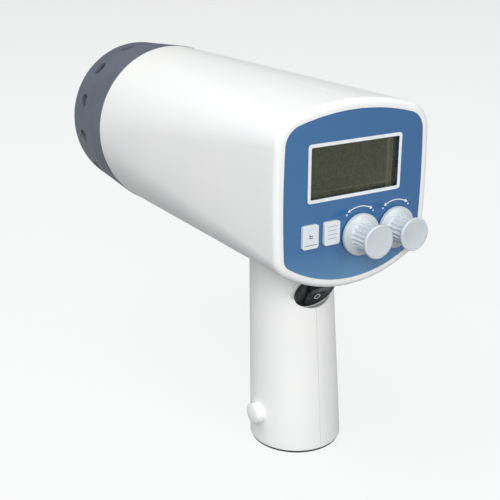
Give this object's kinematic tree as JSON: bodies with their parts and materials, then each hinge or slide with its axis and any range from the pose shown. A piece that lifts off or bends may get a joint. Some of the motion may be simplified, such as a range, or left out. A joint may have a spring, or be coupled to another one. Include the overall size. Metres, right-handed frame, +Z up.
{
  "type": "stroboscope",
  "caption": "Hand-held flashing lamp with a barrel, a handle, a round vented front hood and a rear panel with a display, knobs, keys and a power rocker.",
  "frame": {"origin": "middle of the underside of the foot pad under the handle", "axes": "+Z up along the handle, +Y along the barrel towards the lamp, +X to the operator's right"},
  "size_m": [0.0966, 0.2448, 0.1917],
  "materials": {
    "white_plastic": "gloss",
    "hood_plastic": "satin",
    "label_film": "satin",
    "grey_plastic": "matte",
    "clear_window": "polished",
    "lens": "polished",
    "tube_glass": "polished",
    "lcd_glass": "gloss",
    "reflector_mirror": "polished",
    "steel": "satin",
    "nickel_brass": "satin",
    "copper": "satin",
    "circuit_board": "satin",
    "black_plastic": "satin",
    "switch_plastic": "gloss",
    "white_ceramic": "satin",
    "key_plastic": "satin",
    "knob_plastic": "satin",
    "capacitor_sleeve": "gloss",
    "battery_sleeve": "satin",
    "sink_aluminium": "satin",
    "rubber_black": "matte"
  },
  "bodies": {
    "housing": {"left_shell": "white_plastic", "right_shell": "white_plastic", "inlet_cover": "white_plastic", "lamp_hood": "hood_plastic", "panel_label": "label_film", "rear_panel": "grey_plastic", "base_cap": "grey_plastic", "bulkhead": "grey_plastic", "reflector_retainer": "grey_plastic", "lamp_board_spacers": "grey_plastic", "battery_lower_cap": "grey_plastic", "battery_upper_cap": "grey_plastic", "display_window": "clear_window", "front_lens": "lens", "flash_tube": "tube_glass", "fuse": "tube_glass", "display_glass": "lcd_glass", "reflector": "reflector_mirror", "case_screws": "steel", "base_screws": "steel", "lamp_board_screws": "steel", "display_board_screws": "steel", "main_board_screws": "steel", "display_bezel": "steel", "fine_pot": "steel", "coarse_pot": "steel", "trigger_wire": "steel", "electrodes": "steel", "transformer_core": "steel", "pot_nuts": "nickel_brass", "switch_terminals": "nickel_brass", "fuse_clips": "nickel_brass", "jack_pin": "nickel_brass", "transformer_winding": "copper", "lamp_board": "circuit_board", "display_board": "circuit_board", "display_module_board": "circuit_board", "main_board": "circuit_board", "display_header": "black_plastic", "controller_chip": "black_plastic", "tact_switches": "black_plastic", "transistor": "black_plastic", "power_jack": "black_plastic", "trigger_coil": "black_plastic", "switch_housing": "switch_plastic", "lamp_socket": "white_ceramic", "tube_base": "white_ceramic", "storage_capacitors": "capacitor_sleeve", "flash_capacitor": "capacitor_sleeve", "battery_cells": "battery_sleeve", "heat_sink": "sink_aluminium", "foot_pad": "rubber_black", "lens_gasket": "rubber_black"},
    "fine_control": {"fine_knob": "knob_plastic", "fine_shaft": "steel"},
    "coarse_control": {"coarse_knob": "knob_plastic", "coarse_shaft": "steel"},
    "rocker": {"rocker": "switch_plastic"},
    "left_key": {"left_key": "key_plastic"},
    "right_key": {"right_key": "key_plastic"}
  },
  "joints": [
    {"name": "fine_turn", "type": "hinge", "parent": "housing", "child": "fine_control", "pos_m": [0.0034, -0.05, 0.1247], "axis": [0, 1, 0], "range_deg": [-150, 150]},
    {"name": "coarse_turn", "type": "hinge", "parent": "housing", "child": "coarse_control", "pos_m": [0.0244, -0.05, 0.1247], "axis": [0, 1, 0], "range_deg": [-150, 150]},
    {"name": "rocker_tip", "type": "hinge", "parent": "housing", "child": "rocker", "pos_m": [0, -0.01503, 0.08814], "axis": [-1, 0, 0], "range_deg": [0, 18]},
    {"name": "left_key_press", "type": "slide", "parent": "housing", "child": "left_key", "axis": [0, 1, 0], "range_m": [0, 0.0008], "stiffness_N_per_m": 800, "springref_m": -0.0008},
    {"name": "right_key_press", "type": "slide", "parent": "housing", "child": "right_key", "axis": [0, 1, 0], "range_m": [0, 0.0008], "stiffness_N_per_m": 800, "springref_m": -0.0008}
  ]
}
